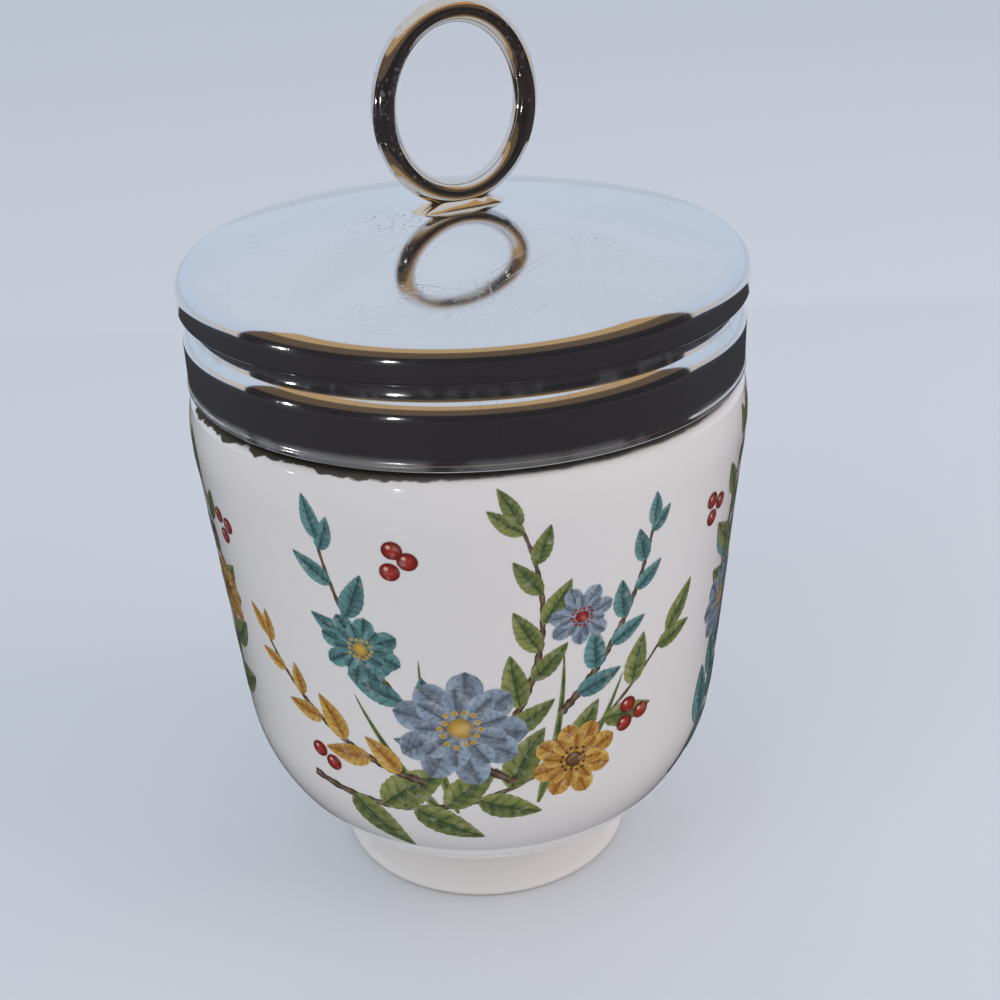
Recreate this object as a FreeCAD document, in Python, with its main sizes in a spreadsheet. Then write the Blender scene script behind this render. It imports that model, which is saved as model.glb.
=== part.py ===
import FreeCAD, Part
import math
import os
import re

import Sketcher

# A porcelain egg coddler: a footed pot with a plain screw neck, closed by a domed sheet-metal lid that carries a
# wire ring. Millimetres, +Z up. The origin is the middle of the foot, on the surface that the pot stands on.
# Radii are measured from the Z axis and heights from the foot.

SIZES = {
    # Pot: foot
    "foot_radius": 21.6,
    "foot_waist_radius": 20.4,
    "foot_height": 7.0,
    "foot_flare_radius": 15.0,
    "foot_land": 3.4,
    "foot_recess": 4.0,
    "foot_round": 0.9,
    # Pot: bowl
    "belly_radius": 34.0,
    "belly_height": 27.5,
    "side_swell": 0.7,
    "side_fall": 6.9,
    "pot_wall": 3.4,
    "floor_height": 7.6,
    "floor_radius": 9.0,
    # Pot: shoulder that the lid's hem comes down to, and the neck inside the lid
    "ledge_width": 3.6,
    "ledge_height": 73.9,
    "ledge_round": 1.5,
    "neck_radius": 33.0,
    "neck_wall": 3.2,
    "neck_height": 11.3,
    "neck_root_round": 1.0,
    "rim_round": 1.3,
    "throat_height": 9.0,
    "throat_round": 2.5,
    # Washer between the rim and the liner
    "washer_thickness": 1.0,
    "washer_overlap": 1.0,
    # Lid: screw liner, a cup of thin metal
    "thread_room": 1.35,
    "washer_room": 0.35,
    "liner_wall": 0.6,
    "liner_round": 1.4,
    # Lid: shell, pressed from one sheet. It overhangs the liner, and its heights are taken from the pot's ledge
    "sheet": 0.5,
    "lid_overhang": 2.05,
    "dome_rise_over_ledge": 21.4,
    "dome_radius_per_lid_radius": 3.54054054054,
    "shoulder_round": 3.3,
    "upper_band_rise": 11.1,
    "band_edge_round": 0.8,
    "recess_overhang": 0.75,
    "recess_round": 0.4,
    "recess_rise": 9.15,
    "lower_band_overhang": 1.8,
    "lower_band_rise": 6.7,
    # Lid: hem, the sheet's edge rolled round and turned in under the liner
    "hem_gap": 0.8,
    "hem_radius": 0.65,
    "hem_lip": 1.0,
    "fit_gap": 0.05,
    # Ring handle, standing on the dome
    "wire_radius": 1.55,
    "ring_half_width": 9.85,
    "ring_half_height": 11.15,
    "ring_turn": 27.0,
    "wire_seat": 0.15,
    # Braze between the ring and the dome
    "braze_length": 12.8,
    "braze_width": 3.4,
    "braze_height": 1.5,
    "braze_edge_round": 0.5,
}

# Places that follow from the sizes above
DERIVED = {
    "ledge_radius": "neck_radius + ledge_width",
    "side_radius": "ledge_radius + side_swell",
    "side_height": "ledge_height - side_fall",
    "rim_height": "ledge_height + neck_height",
    "throat_radius": "neck_radius - neck_wall",
    "washer_top": "rim_height + washer_thickness",
    "liner_bore": "neck_radius + thread_room",
    "liner_radius": "liner_bore + liner_wall",
    "liner_top": "washer_top + liner_wall",
    "lid_radius": "liner_radius + lid_overhang",
    "recess_radius": "liner_radius + recess_overhang",
    "lower_band_radius": "liner_radius + lower_band_overhang",
    "dome_top": "ledge_height + dome_rise_over_ledge",
    "dome_radius": "lid_radius * dome_radius_per_lid_radius",
    "upper_band_foot": "ledge_height + upper_band_rise",
    "recess_foot": "ledge_height + recess_rise",
    "lower_band_top": "ledge_height + lower_band_rise",
    "hem_height": "ledge_height + hem_gap",
    "lip_top": "hem_height + sheet",
    "hem_reach": "lower_band_radius - sheet",
    "dome_middle": "dome_top - dome_radius",
    "dome_end": "(lid_radius - shoulder_round) / (dome_radius - shoulder_round)",
    "dome_rise": "sqrt(1 - dome_end * dome_end)",
    "shoulder_foot": "dome_middle + dome_rise * (dome_radius - shoulder_round)",
    "dome_at_braze": "dome_middle + sqrt(dome_radius * dome_radius - braze_length * braze_length)",
    "ring_height": "dome_top + wire_seat + wire_radius + ring_half_height",
}

doc = FreeCAD.newDocument("egg_coddler")


def make_sheet():
    """Writes every size into the sheet, and every derived place as a formula on those cells."""
    sheet = doc.addObject("Spreadsheet::Sheet", "Sizes")
    row = 0
    for name, number in SIZES.items():
        row += 1
        sheet.set(f"A{row}", name)
        sheet.set(f"B{row}", str(number))
        sheet.setAlias(f"B{row}", name)
    doc.recompute()
    for name, rule in DERIVED.items():
        row += 1
        sheet.set(f"A{row}", name)
        sheet.set(f"B{row}", "=" + rule)
        sheet.setAlias(f"B{row}", name)
        doc.recompute()
    return sheet


sizes = make_sheet()


def on_sheet(rule):
    """A rule written with the sizes' own names, as an expression that other objects can follow."""
    known = SIZES.keys() | DERIVED.keys()
    return re.sub(r"[a-z_]+", lambda word: "Sizes." + word[0] if word[0] in known else word[0], rule)


def size(rule):
    """The rule's present value."""
    return float(sizes.evalExpression(on_sheet(rule)))


def make_body(name):
    body = doc.addObject("PartDesign::Body", name)
    body.Label = name
    return body


def make_sketch(body, name, plane):
    """An empty sketch on one of the body's own origin planes."""
    sketch = body.newObject("Sketcher::SketchObject", name)
    face = next(item for item in body.Origin.OriginFeatures if item.Role == plane)
    sketch.AttachmentSupport = (face, [""])
    sketch.MapMode = "FlatFace"
    return sketch


class Outline:
    """A closed outline drawn step by step, each corner held at its two rules and each arc by a radius or a tangent."""

    def __init__(self, body, name, across, up, plane="XZ_Plane"):
        self.sketch = make_sketch(body, name, plane)
        self.corners = [(across, up)]
        self.steps = []
        self.constraints = []
        self.rules = {}
        self.reversed = []

    def point(self, index):
        across, up = self.corners[index % len(self.corners)]
        return FreeCAD.Vector(size(across), size(up), 0)

    def line(self, across, up):
        self.corners.append((across, up))
        self.steps.append(("line", None))

    def arc(self, across, up, radius, left=False):
        """An arc of a given radius, bulging to the left or right of the way it is drawn."""
        self.corners.append((across, up))
        self.steps.append(("left" if left else "right", radius))

    def arc_into_next(self, across, up):
        """An arc that runs smoothly into the line drawn next."""
        self.corners.append((across, up))
        self.steps.append(("into_next", None))

    def arc_out_of_last(self, across, up):
        """An arc that runs smoothly out of the line drawn last."""
        self.corners.append((across, up))
        self.steps.append(("out_of_last", None))

    def finish(self):
        """Closes the outline back to its first corner, and sets every constraint at once."""
        self.steps.append(("line", None))
        count = len(self.corners)
        for index in range(count):
            self.sketch.addGeometry(self.shape(index), False)
        for index in range(count):
            self.join(index, (index + 1) % count)
            self.hold(index)
            self.hold_arc(index)
        self.sketch.addConstraint(self.constraints)
        for number, rule in self.rules.items():
            self.sketch.setExpression(f"Constraints[{number}]", on_sheet(rule))
        doc.recompute()
        return self.sketch

    def tie(self, rule, *constraint):
        """Adds a constraint, and ties its value to a rule where there is one."""
        if rule:
            self.rules[len(self.constraints)] = rule
            constraint += (size(rule),)
        self.constraints.append(Sketcher.Constraint(*constraint))

    def shape(self, index):
        """The step's line or arc. An arc is kept anticlockwise, so one drawn clockwise is kept reversed."""
        start = self.point(index)
        end = self.point(index + 1)
        if self.steps[index][0] == "line":
            self.reversed.append(False)
            return Part.LineSegment(start, end)
        middle = self.middle(index, start, end)
        clockwise = (middle - start).cross(end - middle).z < 0
        self.reversed.append(clockwise)
        if clockwise:
            return Part.Arc(end, middle, start)
        return Part.Arc(start, middle, end)

    def middle(self, index, start, end):
        """A point half way along the arc from start to end."""
        kind, radius = self.steps[index]
        chord = end - start
        half = chord.Length / 2
        side = FreeCAD.Vector(chord.y, -chord.x, 0).normalize()
        if kind in ("left", "right"):
            reach = size(radius)
            bulge = reach - math.sqrt(max(reach * reach - half * half, 0))
            if kind == "left":
                bulge = -bulge
        else:
            if kind == "into_next":
                way = self.point(index + 2) - end
            else:
                way = self.point(index - 1) - start
                way = way * -1
            turn = chord.getAngle(way)
            across = chord.x * way.y - chord.y * way.x
            bulge = half * math.tan(turn / 2)
            if (across > 0) != (kind == "into_next"):
                bulge = -bulge
        return (start + end) * 0.5 + side * bulge

    def join(self, index, after):
        """Joins a step's end to the next one's start, smoothly where either arc asks for it."""
        smooth = self.steps[index][0] == "into_next" or self.steps[after][0] == "out_of_last"
        kind = "Tangent" if smooth else "Coincident"
        self.tie(None, kind, index, self.end_of(index), after, self.start_of(after))

    def start_of(self, index):
        return 2 if self.reversed[index] else 1

    def end_of(self, index):
        return 1 if self.reversed[index] else 2

    def hold(self, index):
        """Ties the corner that a step starts from to its two rules."""
        across, up = self.corners[index]
        corner = self.start_of(index)
        for kind, axis, rule in (("DistanceX", -2, across), ("DistanceY", -1, up)):
            if rule == "0":
                self.tie(None, "PointOnObject", index, corner, axis)
            else:
                self.tie(rule, kind, -1, 1, index, corner)

    def hold_arc(self, index):
        radius = self.steps[index][1]
        if radius:
            self.tie(radius, "Radius", index)


def turn_solid(body, name, sketch, kind="PartDesign::Revolution"):
    """Turns an outline a full circle about the upright axis, as a solid or as a groove."""
    turned = body.newObject(kind, name)
    turned.Profile = sketch
    turned.ReferenceAxis = (sketch, ["V_Axis"])
    turned.Angle = 360
    doc.recompute()
    return turned


def circles_at(feature, places):
    """The names of a turned feature's circular edges at the given radius and height rules."""
    wanted = [(size(radius), size(height)) for radius, height in places]
    names = []
    for index, edge in enumerate(feature.Shape.Edges, start=1):
        if edge.Degenerated or not isinstance(edge.Curve, Part.Circle):
            continue
        curve = edge.Curve
        for radius, height in wanted:
            if abs(curve.Radius - radius) < 1e-4 and abs(curve.Center.z - height) < 1e-4:
                names.append(f"Edge{index}")
    if len(names) != len(places):
        raise RuntimeError(f"{feature.Name}: {len(names)} of {len(places)} edges found")
    return names


def round_edges(body, name, base, radius, places):
    """Rounds the named circles of a turned feature."""
    rounded = body.newObject("PartDesign::Fillet", name)
    rounded.Base = (base, circles_at(base, places))
    rounded.Radius = size(radius)
    rounded.setExpression("Radius", on_sheet(radius))
    doc.recompute()
    return rounded


def make_pot():
    """The fired pot: flared foot ring, round belly, gently tapered side, shoulder ledge and neck, in one piece."""
    body = make_body("pot")
    section = Outline(body, "pot_section", "0", "foot_recess")
    section.line("foot_radius - foot_land - foot_round", "foot_recess")
    section.line("foot_radius - foot_land", "0")
    section.line("foot_radius", "0")
    section.arc("foot_waist_radius", "foot_height", "foot_flare_radius", left=True)
    section.arc_into_next("belly_radius", "belly_height")
    section.line("side_radius", "side_height")
    section.arc_out_of_last("ledge_radius", "ledge_height")
    section.line("neck_radius", "ledge_height")
    section.line("neck_radius", "rim_height")
    section.line("throat_radius", "rim_height")
    section.line("throat_radius", "ledge_height")
    section.line("side_radius - pot_wall", "ledge_height - throat_height")
    section.line("belly_radius - pot_wall", "belly_height")
    section.arc_out_of_last("floor_radius", "floor_height")
    section.line("0", "floor_height")
    turned = turn_solid(body, "pot_turned", section.finish())
    rim = round_edges(body, "rim_rounded", turned, "rim_round",
                      [("neck_radius", "rim_height"), ("throat_radius", "rim_height")])
    ledge = round_edges(body, "ledge_rounded", rim, "ledge_round", [("ledge_radius", "ledge_height")])
    root = round_edges(body, "neck_root_rounded", ledge, "neck_root_round", [("neck_radius", "ledge_height")])
    throat = round_edges(body, "throat_eased", root, "throat_round", [("throat_radius", "ledge_height")])
    round_edges(body, "foot_rounded", throat, "foot_round",
                [("foot_radius", "0"), ("foot_radius - foot_land", "0")])
    return body


def make_shell():
    """The lid's outside: one pressed sheet with a domed top, two bands with a recess between, and a rolled hem."""
    body = make_body("lid_shell")
    section = Outline(body, "shell_section", "0", "dome_top - sheet")
    section.arc("dome_end * (dome_radius - sheet)", "dome_middle + dome_rise * (dome_radius - sheet)",
                "dome_radius - sheet", left=True)
    section.arc_into_next("lid_radius - sheet", "shoulder_foot")
    section.line("lid_radius - sheet", "upper_band_foot + sheet")
    section.line("recess_radius - sheet", "upper_band_foot + sheet")
    section.line("recess_radius - sheet", "recess_foot")
    section.arc_into_next("hem_reach", "lower_band_top")
    section.line("hem_reach", "lip_top")
    section.line("lower_band_radius", "lip_top")
    section.line("lower_band_radius", "lower_band_top")
    section.arc_out_of_last("recess_radius", "recess_foot")
    section.line("recess_radius", "upper_band_foot")
    section.line("lid_radius", "upper_band_foot")
    section.line("lid_radius", "shoulder_foot")
    section.arc_out_of_last("dome_end * dome_radius", "dome_middle + dome_rise * dome_radius")
    section.arc("0", "dome_top", "dome_radius")
    sheet = turn_solid(body, "sheet_turned", section.finish())
    band = round_edges(body, "band_edge_rounded", sheet, "band_edge_round", [("lid_radius", "upper_band_foot")])
    round_edges(body, "recess_rounded", band, "recess_round",
                [("recess_radius", "upper_band_foot"), ("recess_radius", "recess_foot")])
    hem = Outline(body, "hem_section", "hem_reach - hem_lip", "hem_height")
    hem.line("hem_reach", "hem_height")
    hem.arc_out_of_last("hem_reach", "hem_height + 2 * hem_radius")
    hem.line("hem_reach", "lip_top")
    hem.line("hem_reach - hem_lip", "lip_top")
    turn_solid(body, "hem_rolled", hem.finish())
    return body


def make_liner():
    """The lid's inside: a thin cup that holds the screw thread, its foot turned out over the hem's lip."""
    body = make_body("lid_liner")
    section = Outline(body, "liner_section", "0", "liner_top")
    section.line("liner_radius", "liner_top")
    section.line("liner_radius", "lip_top + liner_wall")
    section.line("hem_reach - fit_gap", "lip_top + liner_wall")
    section.line("hem_reach - fit_gap", "lip_top")
    section.line("liner_bore", "lip_top")
    section.line("liner_bore", "washer_top")
    section.line("0", "washer_top")
    cup = turn_solid(body, "liner_cup", section.finish())
    round_edges(body, "liner_rounded", cup, "liner_round", [("liner_radius", "liner_top")])
    return body


def make_washer():
    """The flat sealing washer that lies on the pot's rim."""
    body = make_body("seal_washer")
    section = Outline(body, "washer_section", "throat_radius - washer_overlap", "rim_height")
    section.line("liner_bore - washer_room", "rim_height")
    section.line("liner_bore - washer_room", "washer_top")
    section.line("throat_radius - washer_overlap", "washer_top")
    turn_solid(body, "washer_turned", section.finish())
    return body


def hold_point(sketch, across, up, *corner):
    """Ties a point of a sketch to its two rules, or to one where the other is None."""
    for kind, axis, rule in (("DistanceX", -2, across), ("DistanceY", -1, up)):
        if rule is None:
            continue
        if rule == "0":
            sketch.addConstraint(Sketcher.Constraint("PointOnObject", *corner, axis))
        else:
            number = sketch.addConstraint(Sketcher.Constraint(kind, -1, 1, *corner, size(rule)))
            sketch.setExpression(f"Constraints[{number}]", on_sheet(rule))


def make_ring_path(body):
    """The oval that the wire's middle follows, upright in the body's XZ plane."""
    path = make_sketch(body, "ring_path", "XZ_Plane")
    centre = FreeCAD.Vector(0, size("ring_height"), 0)
    top = centre + FreeCAD.Vector(0, size("ring_half_height"), 0)
    side = centre + FreeCAD.Vector(size("ring_half_width"), 0, 0)
    path.addGeometry(Part.Ellipse(top, side, centre), False)
    path.exposeInternalGeometry(0)
    hold_point(path, "0", "ring_height", 0, 3)
    hold_point(path, "0", "ring_height + ring_half_height", 1, 1)
    hold_point(path, "ring_half_width", None, 2, 2)
    doc.recompute()
    return path


def run_wire(body, name, kind="PartDesign::AdditivePipe"):
    """Runs the round wire along the ring's oval, as a solid or as a cut."""
    path = make_ring_path(body)
    end = make_sketch(body, "wire_end", "YZ_Plane")
    end.addGeometry(Part.Circle(FreeCAD.Vector(0, size("ring_height + ring_half_height"), 0),
                                FreeCAD.Vector(0, 0, 1), size("wire_radius")), False)
    hold_point(end, "0", "ring_height + ring_half_height", 0, 3)
    number = end.addConstraint(Sketcher.Constraint("Radius", 0, size("wire_radius")))
    end.setExpression(f"Constraints[{number}]", on_sheet("wire_radius"))
    doc.recompute()
    wire = body.newObject(kind, name)
    wire.Profile = end
    wire.Spine = (path, ["Edge1"])
    doc.recompute()
    return wire


def turn_piece(body):
    """Turns a finished piece of the handle about the upright axis to where the ring stands."""
    body.Placement = FreeCAD.Placement(FreeCAD.Vector(), FreeCAD.Rotation(FreeCAD.Vector(0, 0, 1), size("ring_turn")))
    body.setExpression(".Placement.Rotation.Angle", on_sheet("ring_turn"))


def make_ring():
    """The wire ring: one length of round wire bent to an upright oval."""
    body = make_body("ring_handle")
    run_wire(body, "ring_wire")
    turn_piece(body)
    return body


def make_braze():
    """The bar of braze under the ring: it follows the dome below and cradles the wire above."""
    body = make_body("handle_braze")
    plan = make_sketch(body, "braze_plan", "XY_Plane")
    half_run = size("(braze_length - braze_width) / 2")
    half_width = size("braze_width / 2")
    run_and_width = FreeCAD.Vector(half_run, half_width, 0)
    plan.addGeometry([
        Part.LineSegment(FreeCAD.Vector(-half_run, half_width, 0), run_and_width),
        Part.Arc(FreeCAD.Vector(half_run, -half_width, 0), FreeCAD.Vector(half_run + half_width, 0, 0), run_and_width),
        Part.LineSegment(FreeCAD.Vector(half_run, -half_width, 0), run_and_width * -1),
        Part.Arc(FreeCAD.Vector(-half_run, half_width, 0), FreeCAD.Vector(-half_run - half_width, 0, 0),
                 run_and_width * -1),
    ], False)
    plan.addConstraint([
        Sketcher.Constraint("Tangent", 0, 2, 1, 2),
        Sketcher.Constraint("Tangent", 1, 1, 2, 1),
        Sketcher.Constraint("Tangent", 2, 2, 3, 2),
        Sketcher.Constraint("Tangent", 3, 1, 0, 1),
        Sketcher.Constraint("Symmetric", 1, 3, 3, 3, -1, 1),
        Sketcher.Constraint("Horizontal", 0),
    ])
    for rule, constraint in (("braze_width / 2", ("Radius", 1)),
                             ("braze_length - braze_width", ("DistanceX", 3, 3, 1, 3))):
        number = plan.addConstraint(Sketcher.Constraint(*constraint, size(rule)))
        plan.setExpression(f"Constraints[{number}]", on_sheet(rule))
    doc.recompute()
    bar = body.newObject("PartDesign::Pad", "braze_bar")
    bar.Profile = plan
    bar.Length = size("dome_top + braze_height")
    bar.setExpression("Length", on_sheet("dome_top + braze_height"))
    doc.recompute()
    edges = [f"Edge{index}" for index, edge in enumerate(bar.Shape.Edges, start=1)
             if edge.BoundBox.ZMin > size("dome_top")]
    eased = body.newObject("PartDesign::Fillet", "braze_eased")
    eased.Base = (bar, edges)
    eased.Radius = size("braze_edge_round")
    eased.setExpression("Radius", on_sheet("braze_edge_round"))
    doc.recompute()
    dome = Outline(body, "dome_section", "0", "0")
    dome.line("braze_length", "0")
    dome.line("braze_length", "dome_at_braze")
    dome.arc("0", "dome_top", "dome_radius")
    turn_solid(body, "dome_cut", dome.finish(), "PartDesign::Groove")
    run_wire(body, "wire_cut", "PartDesign::SubtractivePipe")
    turn_piece(body)
    return body


def finish(names):
    """Checks every object and every piece, then writes one file for each piece."""
    doc.recompute()
    for item in doc.Objects:
        if "Invalid" in item.State or "Error" in item.State:
            raise RuntimeError(f"{item.Name} failed: {item.State}")
    os.makedirs("parts", exist_ok=True)
    for name in names:
        piece = doc.getObjectsByLabel(name)[0]
        if piece.Shape.isNull() or not piece.Shape.isValid():
            raise RuntimeError(f"{name} has no valid shape")
        piece.Shape.exportStep(f"parts/{name}.step")
        print(name, round(piece.Shape.Volume, 2), len(piece.Shape.Solids))


for make_piece in (make_pot, make_washer, make_liner, make_shell, make_ring, make_braze):
    make_piece()
finish(("pot", "seal_washer", "lid_liner", "lid_shell", "ring_handle", "handle_braze"))
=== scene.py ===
import math
import random

import bpy
from mathutils import Matrix, Vector


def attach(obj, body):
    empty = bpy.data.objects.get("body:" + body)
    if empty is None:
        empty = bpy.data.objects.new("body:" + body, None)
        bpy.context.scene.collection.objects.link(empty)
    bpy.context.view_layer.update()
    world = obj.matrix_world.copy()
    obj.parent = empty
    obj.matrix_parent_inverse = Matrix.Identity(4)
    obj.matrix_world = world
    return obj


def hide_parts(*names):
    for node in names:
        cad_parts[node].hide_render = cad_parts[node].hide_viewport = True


bl_info = {
    "name": "Egg Coddler",
    "version": (1, 0, 0),
    "blender": (4, 5, 0),
    "location": "View3D > Sidebar > Coddler",
    "description": "Builds a porcelain egg coddler with a screw-on metal lid, ready to render",
    "category": "Object",
}

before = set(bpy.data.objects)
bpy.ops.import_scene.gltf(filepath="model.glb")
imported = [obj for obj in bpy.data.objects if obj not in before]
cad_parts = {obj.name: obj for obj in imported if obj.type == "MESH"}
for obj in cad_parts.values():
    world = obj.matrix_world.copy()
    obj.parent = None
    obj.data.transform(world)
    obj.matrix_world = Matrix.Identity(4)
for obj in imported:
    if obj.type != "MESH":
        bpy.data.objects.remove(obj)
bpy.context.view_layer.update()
MM = 0.001
UP = Vector((0, 0, 1))

# Sizes of the CAD part that more than one piece follows, in millimetres
LEDGE = 73.9
RIM = 85.2
NECK = 33.0
BORE = 29.8
DOME_TOP = 95.3
DOME_RADIUS = 131.0
HEM_FOOT = 74.7
RECESS = 83.6

# Colours of age; the first is dirt and painted shade in the gap under the lid's hem
HEM_DIRT_AND_SHADE = (0.045, 0.036, 0.018, 1.0)
SEAM_DIRT = (0.055, 0.045, 0.03, 1.0)
PIT = (0.10, 0.085, 0.07, 1.0)


# Materials


class Wire:
    """A number that changes over a surface, as a socket that arithmetic can be done with."""

    def __init__(self, nodes, socket):
        self.nodes = nodes
        self.socket = socket

    def maths(self, operation, *others):
        """A Math node with this number first and the others after it."""
        numbers = dict(enumerate((self,) + others))
        return self.nodes.node("ShaderNodeMath", {"operation": operation}, numbers)

    def __add__(self, other):
        return self.maths("ADD", other)

    __radd__ = __add__

    def __mul__(self, other):
        return self.maths("MULTIPLY", other)

    __rmul__ = __mul__

    def __sub__(self, other):
        return self.maths("SUBTRACT", other)

    def __rsub__(self, other):
        return self.nodes.node("ShaderNodeMath", {"operation": "SUBTRACT"}, {0: other, 1: self})

    def between(self, low, high):
        """0 at or under low, 1 at or over high, and smooth between. High may be the smaller number."""
        limits = {"Value": self, "From Min": low, "From Max": high}
        return self.nodes.node("ShaderNodeMapRange", {"interpolation_type": "SMOOTHSTEP"}, limits)

    def peak(self, other):
        """The larger of two numbers."""
        return self.maths("MAXIMUM", other)


class Nodes:
    """The nodes of a material or of the sky."""

    def __init__(self, tree):
        self.tree = tree

    def node(self, kind, settings, inputs, output=0):
        """Adds a node, sets its settings and then its inputs, and gives one of its outputs."""
        node = self.tree.nodes.new(kind)
        for name, value in settings.items():
            setattr(node, name, value)
        for name, value in inputs.items():
            self.feed(node.inputs[name], value)
        return Wire(self, node.outputs[output])

    def feed(self, socket, value):
        """Links a wire to an input, or sets the input to a plain value."""
        if isinstance(value, Wire):
            self.tree.links.new(value.socket, socket)
        else:
            socket.default_value = value

    def mix(self, factor, first, second):
        """A colour that goes from the first to the second as factor goes from 0 to 1."""
        settings = {"data_type": "RGBA"}
        return self.node("ShaderNodeMix", settings, {0: factor, 6: first, 7: second}, 2)


class Finish(Nodes):
    """A material in the making: its nodes, and the surface shader that they feed."""

    def __init__(self, name, **constants):
        self.material = bpy.data.materials.new(name)
        self.material.use_nodes = True
        super().__init__(self.material.node_tree)
        self.shader = self.tree.nodes["Principled BSDF"]
        for input_name, value in constants.items():
            self.socket(input_name).default_value = value

    def socket(self, name):
        """The surface shader's input of a name such as base_color."""
        return self.shader.inputs[name.replace("_", " ").title().replace("Ior", "IOR")]

    def place(self):
        return self.node("ShaderNodeTexCoord", {}, {}, "Object")

    def stretched(self, scale, turn=0.0):
        """Places on the piece, turned about the upright axis and then stretched."""
        inputs = {"Vector": self.place(), "Angle": turn}
        turned = self.node("ShaderNodeVectorRotate", {"rotation_type": "Z_AXIS"}, inputs)
        return self.node("ShaderNodeVectorMath", {"operation": "MULTIPLY"}, {0: turned, 1: scale})

    def moved(self, place, offset):
        """Places moved along all three axes, or the piece's own places moved where place is None."""
        inputs = {0: place or self.place(), 1: (offset, offset, offset)}
        return self.node("ShaderNodeVectorMath", {"operation": "ADD"}, inputs)

    def coordinate(self, axis):
        """One coordinate, X, Y or Z, in metres."""
        return self.node("ShaderNodeSeparateXYZ", {}, {"Vector": self.place()}, axis)

    def noise(self, scale, detail=3.0, place=None, offset=0.0):
        """Cloudy noise from 0 to 1, about 1/scale metres from lump to lump."""
        inputs = {"Vector": self.moved(place, offset), "Scale": scale, "Detail": detail}
        return self.node("ShaderNodeTexNoise", {}, inputs)

    def away(self, across=0.0, along=0.0):
        """How far a place is from an upright line, in metres: from the pot's axis if no other is given."""
        inputs = {0: self.place(), 1: (1.0, 1.0, 0.0)}
        flat = self.node("ShaderNodeVectorMath", {"operation": "MULTIPLY"}, inputs)
        line = {0: flat, 1: (across, along, 0.0)}
        return self.node("ShaderNodeVectorMath", {"operation": "DISTANCE"}, line, "Value")

    def near(self, across, along, reach):
        """1 on an upright line and 0 from reach on, all in metres."""
        return self.away(across, along).between(reach, reach * 0.2)

    def specks(self, scale, size, share, offset=0.0, place=None):
        """Specks, one to a cell. Size is a speck's part of its cell, share the part of the cells with one."""
        inputs = {"Vector": self.moved(place, offset), "Scale": scale}
        distance = self.node("ShaderNodeTexVoronoi", {}, inputs, "Distance")
        colour = self.node("ShaderNodeTexVoronoi", {}, inputs, "Color")
        lot = self.node("ShaderNodeSeparateColor", {}, {"Color": colour}, "Red")
        chance = self.node("ShaderNodeSeparateColor", {}, {"Color": colour}, "Green")
        reach = size * (0.35 + lot * 0.65)
        return (reach - distance).between(0.0, size * 0.3) * (share - chance).between(0.0, 0.02)

    def hairlines(self, turn, offset):
        """Fine straight scratches that run one way, with gaps between them."""
        lines = self.noise(1.0, 1.0, self.stretched((90.0, 3800.0, 90.0), turn), offset)
        gaps = self.noise(70.0, 2.0, offset=offset + 9.0).between(0.5, 0.62)
        return lines.between(0.69, 0.75) * gaps

    def bump(self, height, strength, distance, normal=None):
        """A normal that follows a height, over another bump where normal is given."""
        inputs = {"Height": height, "Strength": strength, "Distance": distance}
        if normal:
            inputs["Normal"] = normal
        return self.node("ShaderNodeBump", {}, inputs)

    def use(self, **links):
        """Feeds the surface shader and gives the finished material."""
        for name, value in links.items():
            self.feed(self.socket(name), value)
        return self.material


def rgba(colour, alpha=1.0):
    return tuple(colour) + (alpha,)


def glazed_porcelain(colour):
    """White fired glaze, bare under the foot, with dirt and painted shade along the lid's seam, in the gap
    under its hem, thickest at the left.
    """
    finish = Finish("glazed_porcelain", coat_weight=0.35, coat_roughness=0.04, ior=1.5)
    height = finish.coordinate("Z")
    bare = height.between(0.7 * MM, 0.25 * MM)
    cloud = finish.noise(28.0, 2.0)
    cream = [c * f for c, f in zip(colour, (0.985, 0.98, 0.965))]
    tint = finish.mix(cloud.between(0.3, 0.7), rgba(colour), rgba(cream))
    specks = finish.specks(170.0, 0.05, 0.10)
    tint = finish.mix(specks * 0.5, tint, (0.42, 0.38, 0.33, 1.0))
    tint = finish.mix(bare * 0.8, tint, (0.66, 0.60, 0.52, 1.0))
    # The seam band below is dirt and painted shade: a dark band on the ledge in the gap under the lid's hem.
    outside = finish.away().between((NECK + 1.0) * MM, (NECK + 1.5) * MM)
    left = finish.coordinate("X").between(4 * MM, -24 * MM)
    ragged = finish.noise(240.0, 5.0, offset=2.0).between(0.35, 0.72)
    edge = (LEDGE - 0.18) * MM - ragged * (left * 0.8 + 0.12) * MM
    over_ledge = height.between((LEDGE + 1.3) * MM, (LEDGE + 0.5) * MM)
    seam = height.between(edge, edge + 0.2 * MM) * over_ledge * outside
    # Painted shade and dirt: the seam band darkens the glaze under the lid's hem.
    tint = finish.mix(seam * (left * 0.12 + 0.85), tint, HEM_DIRT_AND_SHADE)
    ripple = finish.bump(finish.noise(95.0, 2.0), 0.05, 0.3 * MM)
    rough = bare * 0.5 + seam * 0.7 + 0.07 + cloud * 0.03
    return finish.use(base_color=tint, roughness=rough, coat_weight=0.35 - seam * 0.35, normal=ripple)


def printed_ink():
    """Fired print under the glaze, its colours held by the mesh."""
    finish = Finish("printed_ink", coat_weight=0.35, coat_roughness=0.04)
    ink = finish.node("ShaderNodeAttribute", {"attribute_name": "Ink"}, {}, "Color")
    mottle = finish.noise(900.0, 4.0)
    pale = finish.mix(mottle.between(0.5, 0.85) * 0.35, ink, (0.80, 0.77, 0.66, 1.0))
    deep = finish.mix(mottle.between(0.48, 0.2) * 0.35, pale, (0.05, 0.05, 0.04, 1.0))
    return finish.use(base_color=deep, roughness=mottle * 0.05 + 0.09)


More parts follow.
